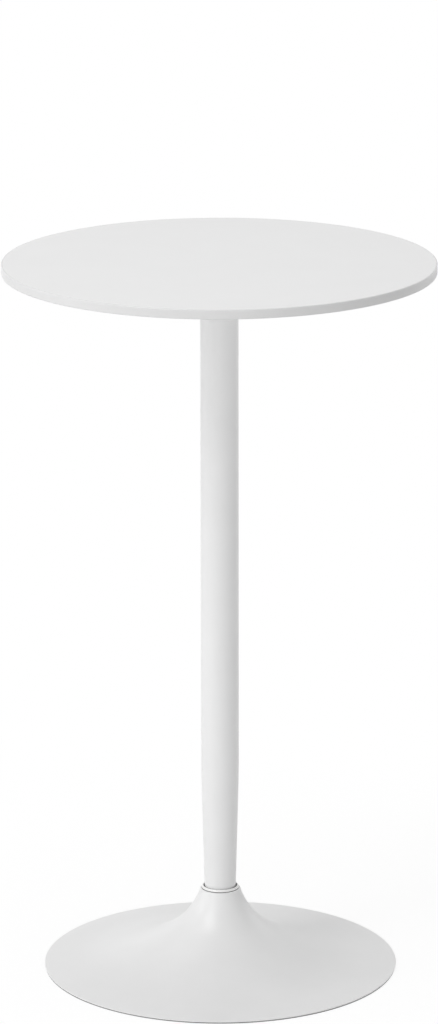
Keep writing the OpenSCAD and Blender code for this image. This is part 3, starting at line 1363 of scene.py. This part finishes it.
@dataclass
class Studio:
    """Pale floor, soft lamps and the camera of the photograph. Lengths in metres, angles in degrees."""

    camera_back: float = 6.8726
    camera_up: float = 2.5041
    camera_pitch: float = 14.991
    camera_roll: float = 0.091
    camera_sight: float = 100.0
    focal_px: float = 5109.4
    center_px: float = 219.65
    picture_px: tuple[int, int] = (438, 1024)
    sensor_mm: float = 36.0
    ambient: float = 0.444
    lamps: tuple[Lamp, ...] = (
        Lamp("key_strip", 40.0, 36.0, 85.6, width=2.2, height=6.4, distance=6.4),
        Lamp("high_box", 55.0, 50.0, 72.8, width=2.2, height=3.2, distance=6.4),
        Lamp("side_fill", 90.0, 12.0, 54.4, width=3.2, height=3.2, distance=6.4),
        Lamp("front_fill", 0.0, 5.0, 42.4, width=3.2, height=2.4, distance=6.4),
        Lamp("right_back_fill", 225.0, 12.0, 8.0),
        Lamp("low_card", 165.0, 3.0, 2.1, height=1.0),
        Lamp("ceiling_lamp", 0.0, 89.9, 13.9),
    )
    lamp_target: float = 0.55
    floor_radius: float = 30.0
    paper: str = "F2F2F2"
    shadow_depth: float = 0.18
    floor_light: float = 0.84
    shadow_reach: tuple[float, float] = (0.4, 1.1)

    def build(self) -> None:
        """Set up the view, the camera, the world, the lamps and the floor."""
        bpy.context.scene.view_settings.view_transform = "Standard"
        self.camera()
        self.world()
        for lamp in self.lamps:
            lamp.build(Z_AXIS * self.lamp_target)
        self.floor()

    def camera(self) -> None:
        """Camera at the photograph's place, aim and angle of view."""
        data = bpy.data.cameras.new("camera")
        data.sensor_width = self.sensor_mm
        data.lens = self.focal_px * self.sensor_mm / max(self.picture_px)
        data.shift_x = (self.picture_px[0] / 2 - self.center_px) / max(self.picture_px)
        data.clip_end = self.camera_sight
        camera = bpy.data.objects.new("camera", data)
        bpy.context.scene.collection.objects.link(camera)
        tilt = Matrix.Rotation(math.radians(90.0 - self.camera_pitch), 4, "X")
        roll = Matrix.Rotation(math.radians(-self.camera_roll), 4, "Z")
        camera.matrix_world = Matrix.Translation((0.0, -self.camera_back, self.camera_up)) @ tilt @ roll
        bpy.context.scene.camera = camera

    def seen(self, tree: NodeTree) -> NodeSocket:
        """1 for rays that show the background itself: straight, mirrored or through glass.

        Args:
            tree: the node tree that needs it.

        Returns:
            The socket that gives the value.
        """
        path = add_node(tree, "ShaderNodeLightPath")
        total = path.outputs["Is Camera Ray"]
        for other in ("Is Glossy Ray", "Is Transmission Ray"):
            links = {0: total, 1: path.outputs[other]}
            total = add_node(tree, "ShaderNodeMath", {"operation": "MAXIMUM"}, links=links).outputs["Value"]
        return total

    def world(self) -> None:
        """White surroundings that light the object at a plain level."""
        world = bpy.data.worlds.new("studio")
        bpy.context.scene.world = world
        tree = fresh_tree(world)
        levels = {"To Min": self.ambient, "To Max": 1.0}
        level = add_node(tree, "ShaderNodeMapRange", values=levels, links={"Value": self.seen(tree)})
        links = {"Strength": level.outputs["Result"]}
        shade = add_node(tree, "ShaderNodeBackground", values={"Color": WHITE}, links=links)
        add_node(tree, "ShaderNodeOutputWorld", links={"Surface": shade.outputs["Background"]})

    def floor(self) -> None:
        """White floor: it keeps a soft shadow near the table and is plain white further out."""
        bm = bmesh.new()
        bmesh.ops.create_circle(bm, cap_ends=True, segments=128, radius=self.floor_radius)
        made = finish_mesh("studio_floor", bm)
        material = bpy.data.materials.new("studio_floor_white")
        tree = fresh_tree(material)
        place = add_node(tree, "ShaderNodeTexCoord").outputs["Object"]
        distance = add_node(tree, "ShaderNodeVectorMath", {"operation": "LENGTH"}, links={0: place})
        fade = add_node(
            tree,
            "ShaderNodeMapRange",
            settings={"interpolation_type": "SMOOTHSTEP"},
            values={"From Min": self.shadow_reach[0], "From Max": self.shadow_reach[1]},
            links={"Value": distance.outputs["Value"]},
        )
        paper = add_node(tree, "ShaderNodeBsdfDiffuse", values={"Color": linear(self.paper)})
        shadow = add_node(tree, "ShaderNodeBsdfDiffuse", values={"Color": (*[self.shadow_depth] * 3, 1.0)})
        lit = 1.0 - self.shadow_depth * self.floor_light
        lift = add_node(tree, "ShaderNodeEmission", values={"Color": WHITE, "Strength": lit})
        links = {0: shadow.outputs["BSDF"], 1: lift.outputs["Emission"]}
        near = add_node(tree, "ShaderNodeAddShader", links=links)
        far = add_node(tree, "ShaderNodeEmission", values={"Color": WHITE, "Strength": 1.0})
        links = {0: fade.outputs["Result"], 1: near.outputs["Shader"], 2: far.outputs["Emission"]}
        shown = add_node(tree, "ShaderNodeMixShader", links=links)
        links = {0: self.seen(tree), 1: paper.outputs["BSDF"], 2: shown.outputs["Shader"]}
        mixed = add_node(tree, "ShaderNodeMixShader", links=links)
        add_node(tree, "ShaderNodeOutputMaterial", links={"Surface": mixed.outputs["Shader"]})
        made.data.materials.append(material)


def main() -> None:
    """Build the studio and every sub-assembly in order, and report each piece."""
    logging.basicConfig(level=logging.INFO, format="%(name)s: %(message)s")
    Studio().build()
    column = Column()
    for assembly in (Tabletop(), PlateFixing(), column, Collar(column), TrumpetBase(), Ballast()):
        for piece in assembly.build():
            faces = len(piece.data.polygons)
            LOG.info("%s: %d faces, %s", piece.name, faces, piece.active_material.name)


if __name__ == "__main__":
    main()
